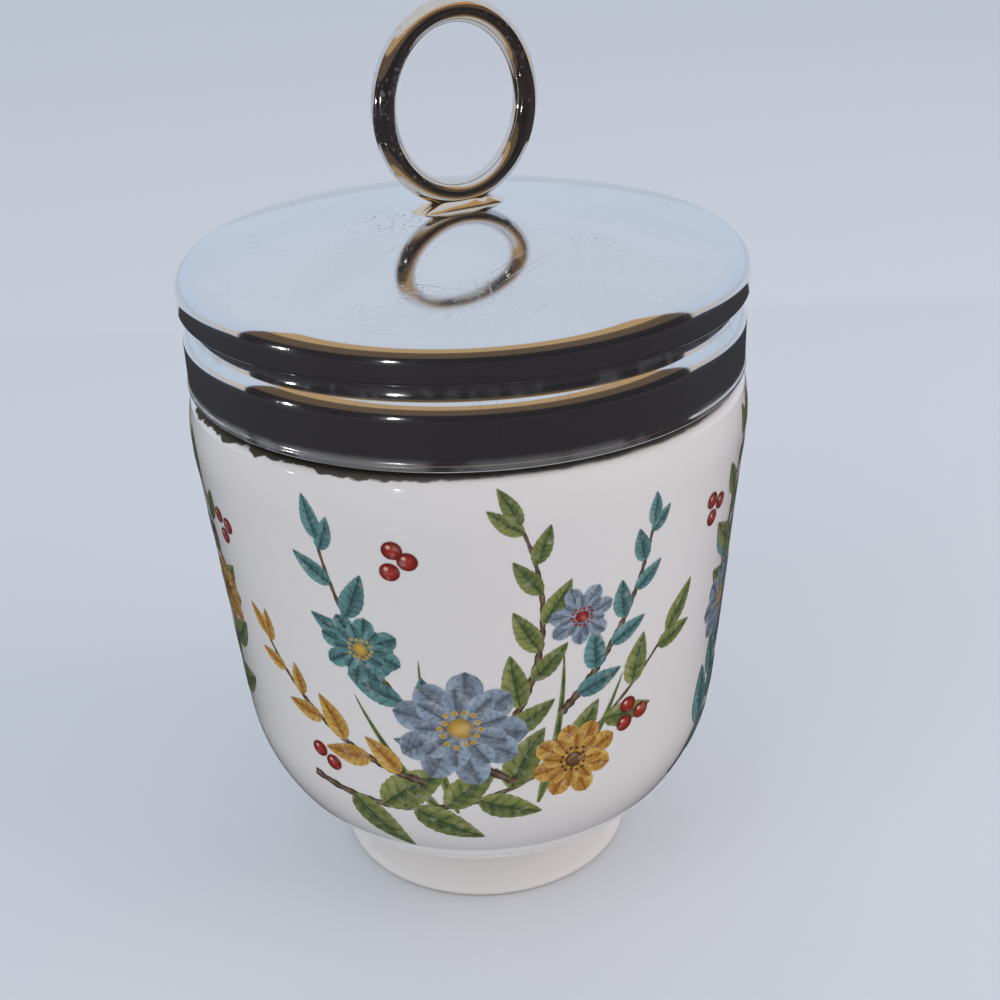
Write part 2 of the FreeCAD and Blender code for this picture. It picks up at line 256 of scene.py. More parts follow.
def worn_plate(name, colour, wear, grime_height=0.0, warm=0.0):
    """Bright plating with fine pits, hairline scratches, cloudy wear and, on the lid, dirt along its seams."""
    finish = Finish(name, metallic=1.0)
    height = finish.coordinate("Z")
    across = finish.coordinate("X")
    cloud = finish.noise(55.0, 4.0)
    fine = finish.noise(420.0, 5.0, offset=3.0)
    top = height.between(89.0 * MM, 91.5 * MM)
    patches = finish.noise(85.0, 3.0, offset=1.7).between(0.50, 0.66)
    right = finish.near(20 * MM, -1 * MM, 20 * MM)
    foot = finish.near(-9 * MM, -4 * MM, 8 * MM)
    where = (patches * (right * 0.8 + 0.2)).peak(foot * 0.8) * top * wear
    pits = finish.specks(1300.0, 0.40, 0.45) * where
    small = finish.specks(2600.0, 0.40, 0.45, 0.4) * (where + top * 0.10 * wear)
    marks = finish.specks(1.0, 0.36, 0.45, 0.9, finish.stretched((380.0, 1150.0, 380.0), 0.12)) * where
    pitted = pits.peak(small * 0.8).peak(marks * 0.7)
    scratches = sum(finish.hairlines(*run) for run in ((0.35, 0.0), (-0.9, 2.0), (1.45, 5.0))) * wear
    silver = finish.mix(cloud.between(0.35, 0.7) * 0.5, rgba(colour), rgba([c * 0.93 for c in colour]))
    if warm:
        tarnish = finish.noise(90.0, 2.0, offset=4.0).between(0.4, 0.65) * warm
        silver = finish.mix(tarnish, silver, (0.86, 0.66, 0.40, 1.0))
    silver = finish.mix(scratches * 0.22, silver, (0.36, 0.36, 0.37, 1.0))
    tone = finish.mix(pitted * 0.85, silver, PIT)
    dirt = 0.0
    if grime_height:
        patchy = finish.noise(160.0, 4.0, offset=6.0).between(0.36, 0.6)
        seam = height.between(grime_height + 1.1 * MM, grime_height - 0.3 * MM) * patchy
        left = across.between(6 * MM, -30 * MM)
        groove = (height - RECESS * MM).maths("ABSOLUTE").between(1.5 * MM, 0.5 * MM)
        dirt = seam * (left * 0.45 + 0.3) + groove * fine.between(0.45, 0.7) * 0.12
        tone = finish.mix(dirt, tone, SEAM_DIRT)
    rough = cloud * 0.05 + fine * 0.05 + 0.035 + pitted * 0.35 + scratches * 0.10 + dirt * 0.4
    middle = finish.near(0.0, 0.0, 22 * MM)
    waves = finish.noise(38.0, 1.0, offset=8.0) + finish.noise(105.0, 1.0, offset=6.0) * middle * 0.35
    dents = finish.bump(waves, 0.22, 0.4 * MM)
    relief = finish.bump(pitted * -1.0 + scratches * -0.15 + fine * 0.06, 0.5, 0.05 * MM, dents)
    metal = 1.0 - (pitted * 0.6 + dirt * 0.7)
    return finish.use(base_color=tone, roughness=rough, metallic=metal, normal=relief)


def drawn_sheet():
    """Plain spun metal of the liner, with faint turning rings."""
    finish = Finish("drawn_sheet", metallic=1.0)
    rings = finish.noise(1.0, 2.0, finish.stretched((60.0, 60.0, 2600.0)))
    tone = finish.mix(rings.between(0.35, 0.65) * 0.4, (0.70, 0.71, 0.72, 1.0), (0.58, 0.58, 0.58, 1.0))
    return finish.use(base_color=tone, roughness=rings * 0.15 + 0.24)


def washer_rubber():
    """Pale, slightly chalky rubber."""
    finish = Finish("washer_rubber")
    cloud = finish.noise(260.0, 3.0)
    tone = finish.mix(cloud.between(0.3, 0.7), (0.66, 0.62, 0.54, 1.0), (0.58, 0.54, 0.46, 1.0))
    return finish.use(base_color=tone, roughness=cloud * 0.1 + 0.6)


def wear_finish(obj, material):
    """Puts one material in the place of all of an object's own."""
    obj.data.materials.clear()
    obj.data.materials.append(material)


# Shapes

FLAT_EDGE = 0.12  # how far the flat beside a rounded corner is held flat, in millimetres
THREAD_SHAPE = ((0.0, -1.0), (0.45, -0.72), (0.86, -0.36), (1.0, 0.0), (0.86, 0.36), (0.45, 0.72), (0.0, 1.0))


def turned_by(vector, angle):
    return Vector((vector.x * math.cos(angle) - vector.y * math.sin(angle),
                   vector.x * math.sin(angle) + vector.y * math.cos(angle)))


def turned_arc(start, end, half_sweep, steps=20):
    """Points from start to end on an arc that turns by twice half_sweep, anticlockwise if that is positive."""
    start = Vector(start)
    chord = Vector(end) - start
    radius = chord.length / (2 * math.sin(half_sweep))
    along = turned_by(chord.normalized(), -half_sweep)
    points = [start]
    for step in range(1, steps + 1):
        part = half_sweep * step / steps
        points.append(start + turned_by(along, part) * (2 * radius * math.sin(part)))
    return points


def turn_between(first, second):
    """The signed angle from one direction to another, anticlockwise positive."""
    first, second = Vector(first), Vector(second)
    return math.atan2(first.x * second.y - first.y * second.x, first.dot(second))


def arc_into(start, end, way, steps=20):
    """An arc from start to end that arrives at end in the direction way."""
    return turned_arc(start, end, turn_between(Vector(end) - Vector(start), way), steps)


def arc_out(start, end, way, steps=20):
    """An arc from start to end that leaves start in the direction way."""
    return turned_arc(start, end, turn_between(way, Vector(end) - Vector(start)), steps)


def corner(across, up, radius=0.0):
    """A corner of an outline, to be rounded off by soften where it has a radius."""
    return across, up, radius


def soften(outline, steps=9):
    """The outline with each corner that has a radius rounded off, as plain points."""
    points = []
    for index, item in enumerate(outline):
        here = Vector(item[:2])
        if len(item) < 3 or not item[2]:
            points.append(here)
            continue
        back = (Vector(outline[index - 1][:2]) - here).normalized()
        on = (Vector(outline[index + 1][:2]) - here).normalized()
        half = back.angle(on) / 2
        reach = item[2] / math.tan(half)
        start, end = here + back * reach, here + on * reach
        points.append(start + back * FLAT_EDGE)
        points.extend(turned_arc(start, end, turn_between(-back, on) / 2, steps))
        points.append(end + on * FLAT_EDGE)
    return points


def add_object(name, data):
    """A new object in the scene."""
    obj = bpy.data.objects.new(name, data)
    bpy.context.scene.collection.objects.link(obj)
    return obj


def mesh_piece(name, vertices, faces, body, slot, *stands_for):
    """A smooth mesh, given in millimetres, that rides a body and takes the place of CAD nodes."""
    mesh = bpy.data.meshes.new(name)
    mesh.from_pydata([Vector(v) * MM for v in vertices], [], faces)
    mesh.shade_smooth()
    mesh.validate()
    obj = add_object(name, mesh)
    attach(obj, body)
    if stands_for:
        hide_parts(*stands_for)
    return obj


def turned(profile, segments):
    """Vertices and faces of a profile turned about the upright axis."""
    vertices, rings, faces = [], [], []
    for across, up in profile:
        if across < 1e-6:
            rings.append([len(vertices)] * (segments + 1))
            vertices.append((0, 0, up))
            continue
        first = len(vertices)
        rings.append([first + k % segments for k in range(segments + 1)])
        for k in range(segments):
            angle = 2 * math.pi * k / segments
            vertices.append((across * math.cos(angle), across * math.sin(angle), up))
    for low, high in zip(rings, rings[1:]):
        for k in range(segments):
            loop = [low[k], low[k + 1], high[k + 1], high[k]]
            kept = list(dict.fromkeys(loop))
            if len(kept) > 2:
                faces.append(kept)
    return vertices, faces


def tube(path, radius, sides):
    """Vertices and faces of a round wire along a closed path of places, each with two directions across it."""
    vertices, faces = [], []
    for place, side, beside in path:
        for k in range(sides):
            angle = 2 * math.pi * k / sides
            vertices.append(place + side * (radius * math.cos(angle)) + beside * (radius * math.sin(angle)))
    count = len(path)
    for step in range(count):
        for k in range(sides):
            after, around = (step + 1) % count, (k + 1) % sides
            faces.append([step * sides + k, step * sides + around, after * sides + around, after * sides + k])
    return vertices, faces


def pot_profile():
    """The pot's section, from under the foot, up the outside, over the rim and down the inside."""
    waist, belly, side_top = (20.4, 7.0), (34.0, 27.5), (37.3, 67.0)
    side = Vector(side_top) - Vector(belly)
    outline = [corner(0, 4.0), corner(17.3, 4.0, 0.6), corner(18.2, 0, 0.8), corner(21.6, 0, 0.9)]
    outline += turned_arc((21.38, 1.6), waist, -0.19, 12)[1:-1]
    outline += arc_into(waist, belly, side, 40)
    outline += [Vector(belly) + side * (k / 12) for k in range(1, 12)]
    outline += [p for p in arc_out(side_top, (36.6, LEDGE), side, 24) if p.y < LEDGE - 1.8]
    outline += [corner(36.6, LEDGE, 1.4), corner(NECK, LEDGE, 1.0), corner(NECK, RIM, 1.3)]
    outline += [corner(BORE, RIM, 1.3), corner(BORE, LEDGE, 2.5), corner(33.9, 64.9, 2.0)]
    outline += arc_out((30.6, 27.5), (9.0, 7.6), -side, 30)
    outline += [corner(0, 7.6)]
    return soften(outline)


def shell_profile():
    """The lid shell's section, from under the dome, down the inside, round the hem and up the outside."""
    up, down = (0, 1), (0, -1)
    outline = turned_arc((0, DOME_TOP - 0.5), (34.44, 90.16), -0.1333, 16)
    outline += arc_into((34.44, 90.16), (36.5, 87.47), down, 8)[1:]
    outline += [corner(36.5, 85.5), corner(35.2, 85.5), corner(35.2, 83.05)]
    outline += arc_into((35.2, 83.05), (36.25, 80.6), down, 8)[1:]
    outline += [corner(36.25, HEM_FOOT + 0.5), corner(35.25, HEM_FOOT + 0.5), corner(35.25, HEM_FOOT)]
    outline += turned_arc((36.25, HEM_FOOT), (36.75, 75.765), 1.1235, 14)
    outline += [corner(36.75, 76.3)]
    outline += arc_out((36.75, 80.6), (35.7, 83.05), up, 14)
    outline += [corner(35.7, 85.0, 0.4), corner(37.0, 85.0, 0.7), corner(37.0, 86.4)]
    outline += arc_out((37.0, 87.47), (34.571, 90.656), up, 20)
    outline += turned_arc((34.571, 90.656), (0, DOME_TOP), 0.1335, 40)[1:]
    return soften(outline)


def pot_outside():
    """The outer line of the pot's section from the foot up to the ledge, which the print lies on."""
    points = [(p.x, p.y) for p in pot_profile() if p.y < LEDGE and p.x > 20.0]
    highest = max(points, key=lambda point: point[1])
    return points[:points.index(highest) + 1]


POT_OUTSIDE = pot_outside()


def pot_radius(height):
    """The pot's outside radius at a height, in millimetres."""
    for (r0, z0), (r1, z1) in zip(POT_OUTSIDE, POT_OUTSIDE[1:]):
        if z0 <= height <= z1 and z1 > z0:
            return r0 + (r1 - r0) * (height - z0) / (z1 - z0)
    return POT_OUTSIDE[-1][0]


def thread_ridge(root, crest, foot, pitch, turns, width):
    """Vertices and faces of a rounded screw ridge from a root to a crest radius, fading out at both ends."""
    vertices, faces = [], []
    steps, run_out = int(turns * 96), 14
    count = len(THREAD_SHAPE)
    for step in range(steps + 1):
        angle = 2 * math.pi * turns * step / steps
        fade = min(1.0, step / run_out, (steps - step) / run_out)
        fade = max(fade * (2 - fade), 0.02)
        for out, rise in THREAD_SHAPE:
            radius = root + (crest - root) * out * fade
            up = foot + pitch * angle / (2 * math.pi) + rise * width * (0.4 + 0.6 * fade)
            vertices.append((radius * math.cos(angle), radius * math.sin(angle), up))
    for step in range(steps):
        here, on = step * count, (step + 1) * count
        for k in range(count):
            after = (k + 1) % count
            faces.append([here + k, on + k, on + after, here + after])
    last = steps * count
    faces.append(list(range(count)))
    faces.append(list(range(last, last + count))[::-1])
    if crest < root:
        faces = [face[::-1] for face in faces]
    return vertices, faces


def squared(value):
    """A sine or cosine pushed outwards, which turns a circle into a rounded oblong."""
    return math.copysign(abs(value) ** 0.62, value)


def braze_mound(turn):
    """Vertices and faces of the low bank of braze that the ring's foot is sunk in, lying on the dome."""
    vertices, faces = [], []
    half_length, half_width, sunk, high, ridge = 6.5, 1.9, 0.05, 1.15, 0.75
    rings, sides = 26, 72
    spin = Matrix.Rotation(turn, 3, "Z")
    for ring in range(rings + 1):
        share = 1.0 - ring / rings
        for k in range(sides):
            angle = 2 * math.pi * k / sides
            wobble = 1 + 0.05 * math.sin(3 * angle + 0.6) + 0.03 * math.sin(7 * angle)
            along = half_length * share * wobble * squared(math.cos(angle))
            beside = half_width * share * wobble * squared(math.sin(angle))
            dome = DOME_TOP - DOME_RADIUS + math.sqrt(DOME_RADIUS ** 2 - along ** 2 - beside ** 2)
            bank = high * (1 - share ** 2.6) ** 0.75 * (1 + 0.06 * math.sin(along * 1.9))
            climb = ridge * math.exp(-(beside / 1.5) ** 2 - (along / 4.6) ** 4) * (1 - share ** 2)
            vertices.append(spin @ Vector((along, beside, dome - sunk + bank + climb)))
    for ring in range(rings):
        for k in range(sides):
            low, high_ring, after = ring * sides, (ring + 1) * sides, (k + 1) % sides
            faces.append([low + k, low + after, high_ring + after, high_ring + k])
    return vertices, faces


# Print

PRINT_RADIUS = 36.0
LAYER_LIFT = 0.00025


class Sprigs:
    """Printed leaves, flowers, berries and twigs.

    Their places are in millimetres, round the pot from its front and up from the floor.
    """

    def __init__(self, seed, lift):
        self.lot = random.Random(seed)
        self.lift = lift
        self.vertices = []
        self.faces = []
        self.inks = []
        self.layer = 0

    def put(self, rows, inks):
        """Lays a grid of places on the glaze, each a little over what was laid before."""
        self.layer += 1
        lift = self.lift + LAYER_LIFT * self.layer
        first = len(self.vertices)
        wide = len(rows[0])
        for row, row_inks in zip(rows, inks):
            for (across, up), ink in zip(row, row_inks):
                angle = across / PRINT_RADIUS
                radius = pot_radius(up) + lift
                self.vertices.append((radius * math.sin(angle), -radius * math.cos(angle), up))
                self.inks.append(ink)
        for i in range(len(rows) - 1):
            for j in range(wide - 1):
                a = first + i * wide + j
                self.faces.append([a, a + 1, a + wide + 1, a + wide])

    def blade(self, base, heading, length, width, bend, dark, light, form, rows=34, half=6):
        """A leaf or petal that grows from base towards heading. Form gives its half width along its length."""
        place = Vector(base)
        grid, inks = [], []
        shade = self.lot.uniform(0.85, 1.15)
        veins = self.lot.uniform(5.5, 8.0)
        for i in range(rows + 1):
            along = i / rows
            way = heading + bend * along
            forward = Vector((math.cos(way), math.sin(way)))
            if i:
                place = place + forward * (length / rows)
            aside = Vector((-forward.y, forward.x))
            reach = width * form(along)
            row, row_inks = [], []
            for j in range(-half, half + 1):
                out = j / half
                row.append(place + aside * (reach * out) - forward * (reach * 0.25 * out * out))
                lightness = 0.25 + 0.6 * abs(out) + (0.22 if out > 0 else -0.08)
                vein = abs(((along * veins - abs(out) * 1.1) % 1.0) - 0.5) * 2
                stroke = math.sin(j * 5.1 + i * 0.35 + veins * 9) * 0.10
                lightness += stroke
                if vein > 0.80 or j == 0:
                    lightness -= 0.40
                lightness = min(max(lightness * shade, 0.0), 1.0)
                row_inks.append([d + (l - d) * lightness for d, l in zip(dark, light)])
            grid.append(row)
            inks.append(row_inks)
        self.put(grid, inks)

    def leaf(self, base, heading, length, width, bend, dark, light):
        """A leaf with a toothed edge."""
        teeth = self.lot.randint(7, 10)

        def form(t):
            return math.sin(math.pi * t ** 0.8) ** 0.8 * (1 - 0.10 * ((t * teeth) % 1.0)) if 0 < t < 1 else 0.0

        self.blade(base, heading, length, width, bend, dark, light, form)

    def grass(self, base, heading, length, width, bend, dark, light):
        """A blade of grass that tapers to a point."""

        def form(t):
            return (1 - t) ** 0.6 * min(1, t * 6 + 0.3)

        self.blade(base, heading, length, width, bend, dark, light, form, 20, 2)

    def flower(self, middle, radius, petals, dark, light, eye, turn=0.0):
        """An open flower: two rings of petals, then a dotted eye."""

        def form(t):
            return t ** 0.65 * (1 - t ** 5) ** 0.5 if t < 1 else 0.0

        for ring, (reach, wide) in enumerate(((1.0, 0.36), (0.68, 0.25))):
            for k in range(petals):
                spoke = turn + 2 * math.pi * (k + 0.5 * ring) / petals
                heading = spoke + self.lot.uniform(-0.08, 0.08)
                length = radius * reach * self.lot.uniform(0.82, 0.95)
                bend = self.lot.uniform(-0.25, 0.25)
                base = beyond(middle, heading, radius * 0.1)
                self.blade(base, heading, length, radius * wide, bend, dark, light, form, 22, 5)
        self.dot(middle, radius * 0.2, eye, [c * 0.45 for c in eye])
        for k in range(14):
            place = beyond(middle, 2 * math.pi * k / 14, radius * self.lot.uniform(0.24, 0.34))
            self.dot(place, radius * 0.045, [c * 0.5 for c in eye], eye, 1)

    def dot(self, middle, radius, inner, outer, rings=4):
        """A round spot, its colour going from inner to outer."""
        grid, inks = [], []
        for i in range(rings + 1):
            reach = radius * max(i / rings, 0.02)
            grid.append([beyond(middle, -2 * math.pi * k / 16, reach) for k in range(17)])
            mix = (i / rings) ** 1.6
            inks.append([[p + (q - p) * mix for p, q in zip(inner, outer)]] * 17)
        self.put(grid, inks)

    def berry(self, middle, radius, ink):
        """A berry with a pale glint."""
        self.dot(middle, radius, ink, [c * 0.35 for c in ink])
        self.dot(Vector(middle) + Vector((-0.3, 0.35)) * radius, radius * 0.28, (0.85, 0.62, 0.5), ink, 2)

    def twig(self, curve, thick, thin, ink):
        """A tapering stem along a curve."""
        grid, inks = [], []
        steps = 60
        for i in range(steps + 1):
            place, way = bezier(curve, i / steps)
            aside = Vector((-way.y, way.x))
            reach = (thick + (thin - thick) * i / steps) * (1 + 0.22 * math.sin(i * 2.1))
            grid.append([place + aside * (reach * j / 2) for j in range(-2, 3)])
            knot = 1.0 + 0.8 * (i % 3 == 0)
            inks.append([[c * f * knot for c in ink] for f in (0.5, 1.0, 1.9, 1.1, 0.4)])
        self.put(grid, inks)

    def branch(self, curve, count, length, width, dark, light, bark, spread=0.75, start=0.12):
        """A stem with leaves on both sides by turns and one at its tip."""
        self.twig(curve, 0.62, 0.18, bark)
        for k in range(count):
            along = start + (0.97 - start) * k / max(count - 1, 1)
            place, way = bezier(curve, along)
            heading = math.atan2(way.y, way.x)
            side = 1 if k % 2 else -1
            size = length * (1 - 0.45 * along) * self.lot.uniform(0.88, 1.1)
            lean = side * spread * self.lot.uniform(0.8, 1.15)
            bend = -0.5 * lean * self.lot.uniform(0.2, 0.9)
            self.leaf(place, heading + lean, size, width * size / length, bend, dark, light)
        place, way = bezier(curve, 1.0)
        self.leaf(place, math.atan2(way.y, way.x), length * 0.6, width * 0.55, 0.2, dark, light)


def beyond(middle, heading, reach):
    """The place that lies at a distance from another one, in the direction heading."""
    return Vector(middle) + Vector((math.cos(heading), math.sin(heading))) * reach


def bezier(curve, t):
    """A place on a three-point curve and the direction there."""
    a, b, c = (Vector(p) for p in curve)
    place = a * (1 - t) ** 2 + b * (2 * t * (1 - t)) + c * t ** 2
    way = (b - a) * (2 * (1 - t)) + (c - b) * (2 * t)
    return place, way.normalized()


# Settings


def length_setting(name, description, default):
    """A length that is given in millimetres and kept in metres."""
    return bpy.props.FloatProperty(
        name=name, description=description, default=default * MM, unit="LENGTH", precision=5)


def colour_setting(name, description, default):
    """A plain colour."""
    return bpy.props.FloatVectorProperty(
        name=name, description=description, default=default, subtype="COLOR", size=3, min=0.0, max=1.0)


class CoddlerPotSettings(bpy.types.PropertyGroup):
    glaze: colour_setting("Glaze", "Colour of the glazed porcelain", (0.86, 0.845, 0.83))
    thread_width: length_setting("Thread width", "Half the width of the ridge on the neck", 0.95)
    thread_crest: length_setting("Thread crest", "Radius of the neck's screw ridge at its crest", 34.05)
    pitch: length_setting("Thread pitch", "Rise of the screw ridge in one turn", 4.8)
    segments: bpy.props.IntProperty(
        name="Segments", description="Faces round the turned pieces", default=224, min=24)


class CoddlerLidSettings(bpy.types.PropertyGroup):
    plating: colour_setting("Plating", "Colour of the lid's bright plating", (0.83, 0.86, 0.89))
    wire_colour: colour_setting("Ring plating", "Colour of the ring's plating", (0.74, 0.74, 0.75))
    wear: bpy.props.FloatProperty(
        name="Wear", description="Amount of pits and scratches",
        default=1.0, min=0.0, max=1.0, subtype="FACTOR")
    wire: length_setting("Wire radius", "Radius of the ring's wire", 1.55)
    ring_width: length_setting("Ring half width", "Half the width of the ring at the wire's middle", 9.85)
    ring_rise: length_setting("Ring half height", "Half the height of the ring at the wire's middle", 11.15)
    ring_middle: length_setting("Ring middle", "Height of the ring's middle", 108.15)
    ring_turn: bpy.props.FloatProperty(
        name="Ring turn", description="Angle of the ring about the upright axis",
        default=math.radians(27.0), subtype="ANGLE")


class CoddlerPrintSettings(bpy.types.PropertyGroup):
    seed: bpy.props.IntProperty(
        name="Seed", description="Picks another drawing of the same sprigs", default=11)
    olive: colour_setting("Olive", "Light green of the leaves", (0.30, 0.33, 0.10))
    deep: colour_setting("Deep green", "Dark green of the leaves", (0.045, 0.085, 0.035))
    teal: colour_setting("Teal", "Light blue-green of the leaves", (0.16, 0.36, 0.36))
    slate: colour_setting("Slate blue", "Light colour of the blue flowers", (0.36, 0.45, 0.56))
    ochre: colour_setting("Ochre", "Light colour of the yellow flowers", (0.72, 0.46, 0.10))
    bark: colour_setting("Bark", "Colour of the twigs", (0.085, 0.055, 0.035))
    crimson: colour_setting("Crimson", "Colour of the berries", (0.42, 0.04, 0.03))


class CoddlerStageSettings(bpy.types.PropertyGroup):
    floor: colour_setting("Floor", "Colour of the floor", (0.80, 0.82, 0.85))
    lens: bpy.props.FloatProperty(
        name="Lens", description="Focal length in millimetres", default=51.84, min=10.0)


# Operators


class CODDLER_OT_pot(bpy.types.Operator):
    """Make the glazed pot and the screw ridge on its neck"""

    bl_idname = "coddler.pot"
    bl_label = "Pot"

    def execute(self, context):
        settings = context.scene.coddler_pot
        glaze = glazed_porcelain(settings.glaze)
        body = mesh_piece("glazed_pot", *turned(pot_profile(), settings.segments), "pot", "porcelain", "pot")
        wear_finish(body, glaze)
        ridge = thread_ridge(
            root=NECK - 0.1, crest=settings.thread_crest / MM, foot=76.3,
            pitch=settings.pitch / MM, turns=1.3, width=settings.thread_width / MM)
        neck_thread = mesh_piece("neck_thread", *ridge, "pot", "porcelain")
        wear_finish(neck_thread, glaze)
        return {"FINISHED"}


class CODDLER_OT_print(bpy.types.Operator):
    """Print the sprigs of leaves, flowers and berries on the pot"""

    bl_idname = "coddler.print"
    bl_label = "Printed sprigs"

    def execute(self, context):
        inks = context.scene.coddler_print
        olive, deep, teal, slate = (list(c) for c in (inks.olive, inks.deep, inks.teal, inks.slate))
        ochre, bark, crimson = (list(c) for c in (inks.ochre, inks.bark, inks.crimson))
        dusk = [c * 0.28 for c in slate]
        sea = [c * 0.22 for c in teal]
        rust = [0.30, 0.10, 0.02]
        umber = [0.20, 0.10, 0.04]
        sprigs = Sprigs(inks.seed, 0.03)
        blades = (((-6, 25), 2.3, 21, -0.35), ((-4, 25), 1.9, 25, -0.35),
                  ((7, 26), 1.25, 24, 0.35), ((10, 27), 0.9, 19, 0.35))
        for base, heading, length, bend in blades:
            sprigs.grass(base, heading, length, 0.7, bend, deep, olive)
        sprigs.branch(((-26, 27), (2, 19), (26, 47)), 11, 12.5, 3.0, deep, olive, bark)
        sprigs.branch(((4, 30), (-16, 42), (-19, 65)), 9, 10.0, 2.3, sea, teal, bark)
        sprigs.branch(((0, 34), (12, 50), (5, 68)), 8, 9.0, 2.0, deep, olive, bark, 0.6)
        sprigs.branch(((-8, 30), (-24, 34), (-31, 47)), 7, 8.0, 2.0, rust, ochre, bark, 0.6)
        sprigs.branch(((10, 40), (20, 50), (22, 64)), 7, 7.5, 1.9, sea, teal, bark, 0.65)
        sprigs.flower((-3, 39), 9.0, 9, dusk, slate, ochre)
        sprigs.flower((12, 32), 6.2, 8, rust, ochre, umber, 0.3)
        sprigs.flower((-15, 50), 5.4, 8, sea, teal, ochre, 0.5)
        sprigs.flower((12.5, 54), 4.4, 7, dusk, slate, crimson, 0.2)
        for place in ((20, 38), (22.3, 36.2), (19.6, 35.2), (-22, 30), (-24.2, 31.5),
                      (-10, 62), (-7.8, 63.6), (-9.5, 65)):
            sprigs.berry(place, 1.25, crimson)
        sprigs.branch(((-50, 28), (-38, 44), (-44, 66)), 8, 9.5, 2.4, deep, olive, bark)
        sprigs.flower((-42, 49), 5.0, 8, rust, ochre, umber)
        for place in ((-37.5, 59), (-36, 61), (-38.5, 61.6)):
            sprigs.berry(place, 1.1, crimson)
        sprigs.branch(((33, 19), (49, 32), (40, 52)), 9, 11.0, 2.7, sea, teal, bark)
        sprigs.branch(((48, 38), (37, 54), (45, 68)), 8, 9.0, 2.2, deep, olive, bark)
        sprigs.flower((42, 44), 6.4, 9, dusk, slate, ochre, 0.4)
        for place in ((34, 60), (36, 61.6), (33.6, 62.6)):
            sprigs.berry(place, 1.15, crimson)
        sprigs.branch(((84, 30), (74, 44), (82, 62)), 8, 9.5, 2.3, rust, ochre, bark)
        sprigs.branch(((104, 22), (124, 28), (132, 54)), 10, 11.5, 2.8, deep, olive, bark)
        sprigs.branch(((116, 32), (104, 46), (106, 64)), 8, 9.0, 2.1, sea, teal, bark)
        sprigs.flower((114, 42), 8.0, 9, dusk, slate, ochre, 0.2)
        sprigs.flower((126, 47), 4.8, 8, rust, ochre, umber)
        sprigs.branch(((-78, 26), (-88, 42), (-80, 62)), 8, 9.5, 2.3, deep, olive, bark)
        sprigs.flower((-84, 44), 5.0, 8, sea, teal, ochre)
        piece = mesh_piece("printed_sprigs", sprigs.vertices, sprigs.faces, "pot", "porcelain")
        layer = piece.data.color_attributes.new("Ink", "FLOAT_COLOR", "POINT")
        layer.data.foreach_set("color", [c for ink in sprigs.inks for c in (*ink, 1.0)])
        wear_finish(piece, printed_ink())
        return {"FINISHED"}


class CODDLER_OT_lid(bpy.types.Operator):
    """Make the pressed lid shell, and finish the liner with its screw ridge"""

    bl_idname = "coddler.lid"
    bl_label = "Lid"

    def execute(self, context):
        scene = context.scene
        lid, pot = scene.coddler_lid, scene.coddler_pot
        shape = turned(shell_profile(), pot.segments)
        shell = mesh_piece("bright_shell", *shape, "lid", "plated_sheet", "lid_shell")
        plate = worn_plate("bright_plate", lid.plating, lid.wear, grime_height=(HEM_FOOT + 0.9) * MM)
        wear_finish(shell, plate)
        sheet = drawn_sheet()
        wear_finish(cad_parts["lid_liner"], sheet)
        ridge = thread_ridge(root=34.45, crest=33.2, foot=77.3, pitch=pot.pitch / MM, turns=1.3, width=0.8)
        liner_thread = mesh_piece("liner_thread", *ridge, "lid", "liner_metal")
        liner_thread.data.transform(Matrix.Rotation(math.radians(105.0), 4, "Z"))
        wear_finish(liner_thread, sheet)
        return {"FINISHED"}


class CODDLER_OT_ring(bpy.types.Operator):
    """Make the wire ring, and finish the braze under it"""

    bl_idname = "coddler.ring"
    bl_label = "Ring"

    def execute(self, context):
        lid = context.scene.coddler_lid
        along = Vector((math.cos(lid.ring_turn), math.sin(lid.ring_turn), 0))
        path = []
        steps = 144
        for k in range(steps):
            angle = 2 * math.pi * k / steps
            height = lid.ring_middle + lid.ring_rise * math.sin(angle)
            place = along * (lid.ring_width * math.cos(angle)) + UP * height
            side = along * (lid.ring_rise * math.cos(angle)) + UP * (lid.ring_width * math.sin(angle))
            path.append((place / MM, side.normalized(), along.cross(UP)))
        ring = mesh_piece("wire_ring", *tube(path, lid.wire / MM, 28), "lid", "plated_wire", "ring_handle")
        wear_finish(ring, worn_plate("ring_plate", lid.wire_colour, lid.wear * 0.5, warm=0.35))
        braze = mesh_piece("braze_mound", *braze_mound(lid.ring_turn), "lid", "plated_braze", "handle_braze")
        wear_finish(braze, worn_plate("braze_plate", (0.80, 0.77, 0.72), 0.6, warm=0.5))
        return {"FINISHED"}


class CODDLER_OT_washer(bpy.types.Operator):
    """Finish the sealing washer"""

    bl_idname = "coddler.washer"
    bl_label = "Washer"

    def execute(self, context):
        wear_finish(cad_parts["seal_washer"], washer_rubber())
        return {"FINISHED"}


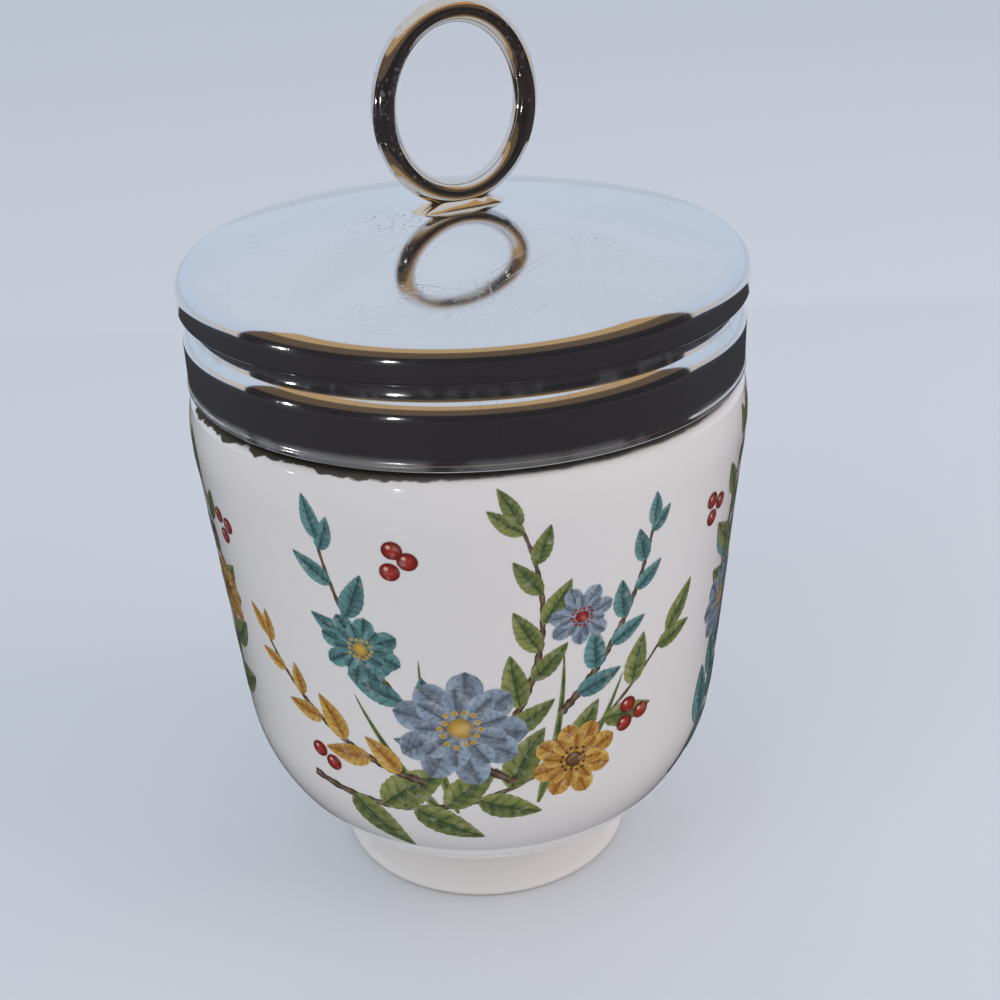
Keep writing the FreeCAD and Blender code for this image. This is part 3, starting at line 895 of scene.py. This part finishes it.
class CODDLER_OT_stage(bpy.types.Operator):
    """Set the floor, the card and screens that the metal reflects, the lamps, the sky and the camera"""

    bl_idname = "coddler.stage"
    bl_label = "Stage"

    def execute(self, context):
        settings = context.scene.coddler_stage
        paper = Finish("floor_paper", roughness=0.9)
        floor = disc("floor", 0.0, 6.0, 0.0, paper.use(base_color=rgba(settings.floor)))
        card = disc("dark_card", 0.026, 1.5, 0.3 * MM, matt("dark_card", (0.022, 0.017, 0.019)), 0.23)
        flag = screen("dark_flag", 0.0, 0.46, matt("dark_flag", (0.03, 0.022, 0.022)))
        wall = screen("brown_flag", 0.46, 1.05, matt("brown_flag", (0.20, 0.12, 0.06)))
        trim = screen("gold_trim", 1.05, 1.75, matt("gold_trim", (0.85, 0.52, 0.22)))
        for piece in (card, flag, wall, trim):
            piece.visible_camera = False
            piece.visible_diffuse = False
            piece.visible_shadow = False
        lamp("key_lamp", (-0.45, -0.45, 0.62), 0.45, 0.75, (0.93, 0.97, 1.0))
        lamp("fill_lamp", (0.65, -0.2, 0.4), 0.5, 1.3, (1.0, 0.84, 0.78))
        for number, degrees in enumerate((-28.0, -71.5)):
            across, along = ahead_turned(math.radians(degrees), GLINT_RADIUS)
            glint = lamp(f"glint_{number}", (across, along, 0.095), 0.05, 0.3, (1.0, 0.97, 0.92))
            glint.visible_glossy = True
        sky(context.scene)
        camera(context.scene, settings.lens)
        return {"FINISHED"}


# Stage, in metres

SCREEN_RADIUS = 1.4
SCREEN_PANELS = 31
SCREEN_REACH = math.radians(93)
GLINT_RADIUS = 1.3
CAMERA_PLACE = (0, -0.1816, 0.1433)
CAMERA_PITCH, CAMERA_YAW, CAMERA_ROLL = math.radians(26.42), math.radians(1.17), math.radians(-2.04)


def matt(name, colour):
    """A plain dull material."""
    return Finish(name, roughness=0.8).use(base_color=rgba(colour))


def ahead_turned(turn, radius):
    """The place on the floor that lies at a radius from the pot, turned from its front towards its right."""
    return radius * math.sin(turn), -radius * math.cos(turn)


def disc(name, inner, outer, height, material, back=None):
    """A flat ring round the object, or a full disc where inner is 0, cut off behind the object at back."""
    mesh = bpy.data.meshes.new(name)
    vertices, faces = turned([(outer / MM, height / MM), (inner / MM, height / MM)], 96)
    limit = outer if back is None else back
    mesh.from_pydata([Vector((x, min(y, limit / MM), z)) * MM for x, y, z in vertices], [], faces)
    mesh.materials.append(material)
    return add_object(name, mesh)


def screen(name, foot, top, material):
    """An upright screen that curves round the front, for the bright metal to reflect."""
    mesh = bpy.data.meshes.new(name)
    turns = [SCREEN_REACH * (2 * k / SCREEN_PANELS - 1) for k in range(SCREEN_PANELS + 1)]
    vertices = [(*ahead_turned(turn, SCREEN_RADIUS), up) for turn in turns for up in (foot, top)]
    panels = [(2 * k, 2 * k + 2, 2 * k + 3, 2 * k + 1) for k in range(SCREEN_PANELS)]
    mesh.from_pydata(vertices, [], panels)
    mesh.materials.append(material)
    return add_object(name, mesh)


def lamp(name, place, size, power, colour):
    """A square soft lamp that faces the middle of the pot and that the metal doesn't reflect."""
    light = bpy.data.lights.new(name, "AREA")
    light.size = size
    light.energy = power
    light.color = colour
    obj = add_object(name, light)
    obj.visible_glossy = False
    obj.location = place
    obj.rotation_mode = "QUATERNION"
    obj.rotation_quaternion = (Vector(place) - Vector((0, 0, 0.06))).to_track_quat("Z", "Y")
    return obj


def sky(scene):
    """A plain studio: pale blue overhead and behind, beige low down at the sides and in front."""
    world = bpy.data.worlds.new("studio")
    world.use_nodes = True
    scene.world = world
    nodes = Nodes(world.node_tree)
    way = nodes.node("ShaderNodeTexCoord", {}, {}, "Generated")
    depth = nodes.node("ShaderNodeSeparateXYZ", {}, {0: way}, "Y")
    rise = nodes.node("ShaderNodeSeparateXYZ", {}, {0: way}, "Z")
    tilt = rise + depth * 0.35
    pale = nodes.mix(tilt.between(0.2, 0.9), (0.54, 0.63, 0.75, 1.0), (0.63, 0.67, 0.75, 1.0))
    wall = nodes.mix(tilt.between(0.26, 0.14), pale, (0.62, 0.52, 0.44, 1.0))
    nodes.feed(nodes.tree.nodes["Background"].inputs["Color"], wall)


def camera(scene, lens):
    """The camera, where the photograph was taken from."""
    level = math.cos(CAMERA_PITCH)
    ahead = Vector((math.sin(CAMERA_YAW) * level, math.cos(CAMERA_YAW) * level, -math.sin(CAMERA_PITCH)))
    right = ahead.cross(UP).normalized()
    above = right.cross(ahead)
    across = right * math.cos(CAMERA_ROLL) + above * math.sin(CAMERA_ROLL)
    up = above * math.cos(CAMERA_ROLL) - right * math.sin(CAMERA_ROLL)
    data = bpy.data.cameras.new("camera")
    data.lens = lens
    data.clip_start = 0.005
    data.clip_end = 50.0
    obj = add_object("camera", data)
    turn = Matrix((across, up, -ahead)).transposed().to_4x4()
    obj.matrix_world = Matrix.Translation(CAMERA_PLACE) @ turn
    scene.camera = obj
    scene.view_settings.view_transform = "Standard"


# Panel and registration


class CODDLER_PT_panel(bpy.types.Panel):
    """Lists the operators and the settings that they read"""

    bl_idname = "CODDLER_PT_panel"
    bl_label = "Egg Coddler"
    bl_space_type = "VIEW_3D"
    bl_region_type = "UI"
    bl_category = "Coddler"

    def draw(self, context):
        for operator in OPERATORS:
            self.layout.operator(operator.bl_idname)
        for group in SETTINGS:
            settings = getattr(context.scene, group)
            for name in settings.__annotations__:
                self.layout.prop(settings, name)


SETTINGS = {
    "coddler_pot": CoddlerPotSettings,
    "coddler_lid": CoddlerLidSettings,
    "coddler_print": CoddlerPrintSettings,
    "coddler_stage": CoddlerStageSettings,
}
OPERATORS = (
    CODDLER_OT_pot,
    CODDLER_OT_print,
    CODDLER_OT_lid,
    CODDLER_OT_ring,
    CODDLER_OT_washer,
    CODDLER_OT_stage,
)


def register():
    """Registers the classes and hangs the settings on the scene."""
    for group in (*SETTINGS.values(), *OPERATORS, CODDLER_PT_panel):
        bpy.utils.register_class(group)
    for name, group in SETTINGS.items():
        setattr(bpy.types.Scene, name, bpy.props.PointerProperty(type=group))


def unregister():
    """Takes away what register added."""
    for name in SETTINGS:
        delattr(bpy.types.Scene, name)
    for group in (CODDLER_PT_panel, *reversed(OPERATORS), *SETTINGS.values()):
        bpy.utils.unregister_class(group)


def main():
    """Builds every piece and the stage."""
    register()
    bpy.ops.coddler.pot()
    bpy.ops.coddler.print()
    bpy.ops.coddler.lid()
    bpy.ops.coddler.ring()
    bpy.ops.coddler.washer()
    bpy.ops.coddler.stage()


if __name__ == "__main__":
    main()
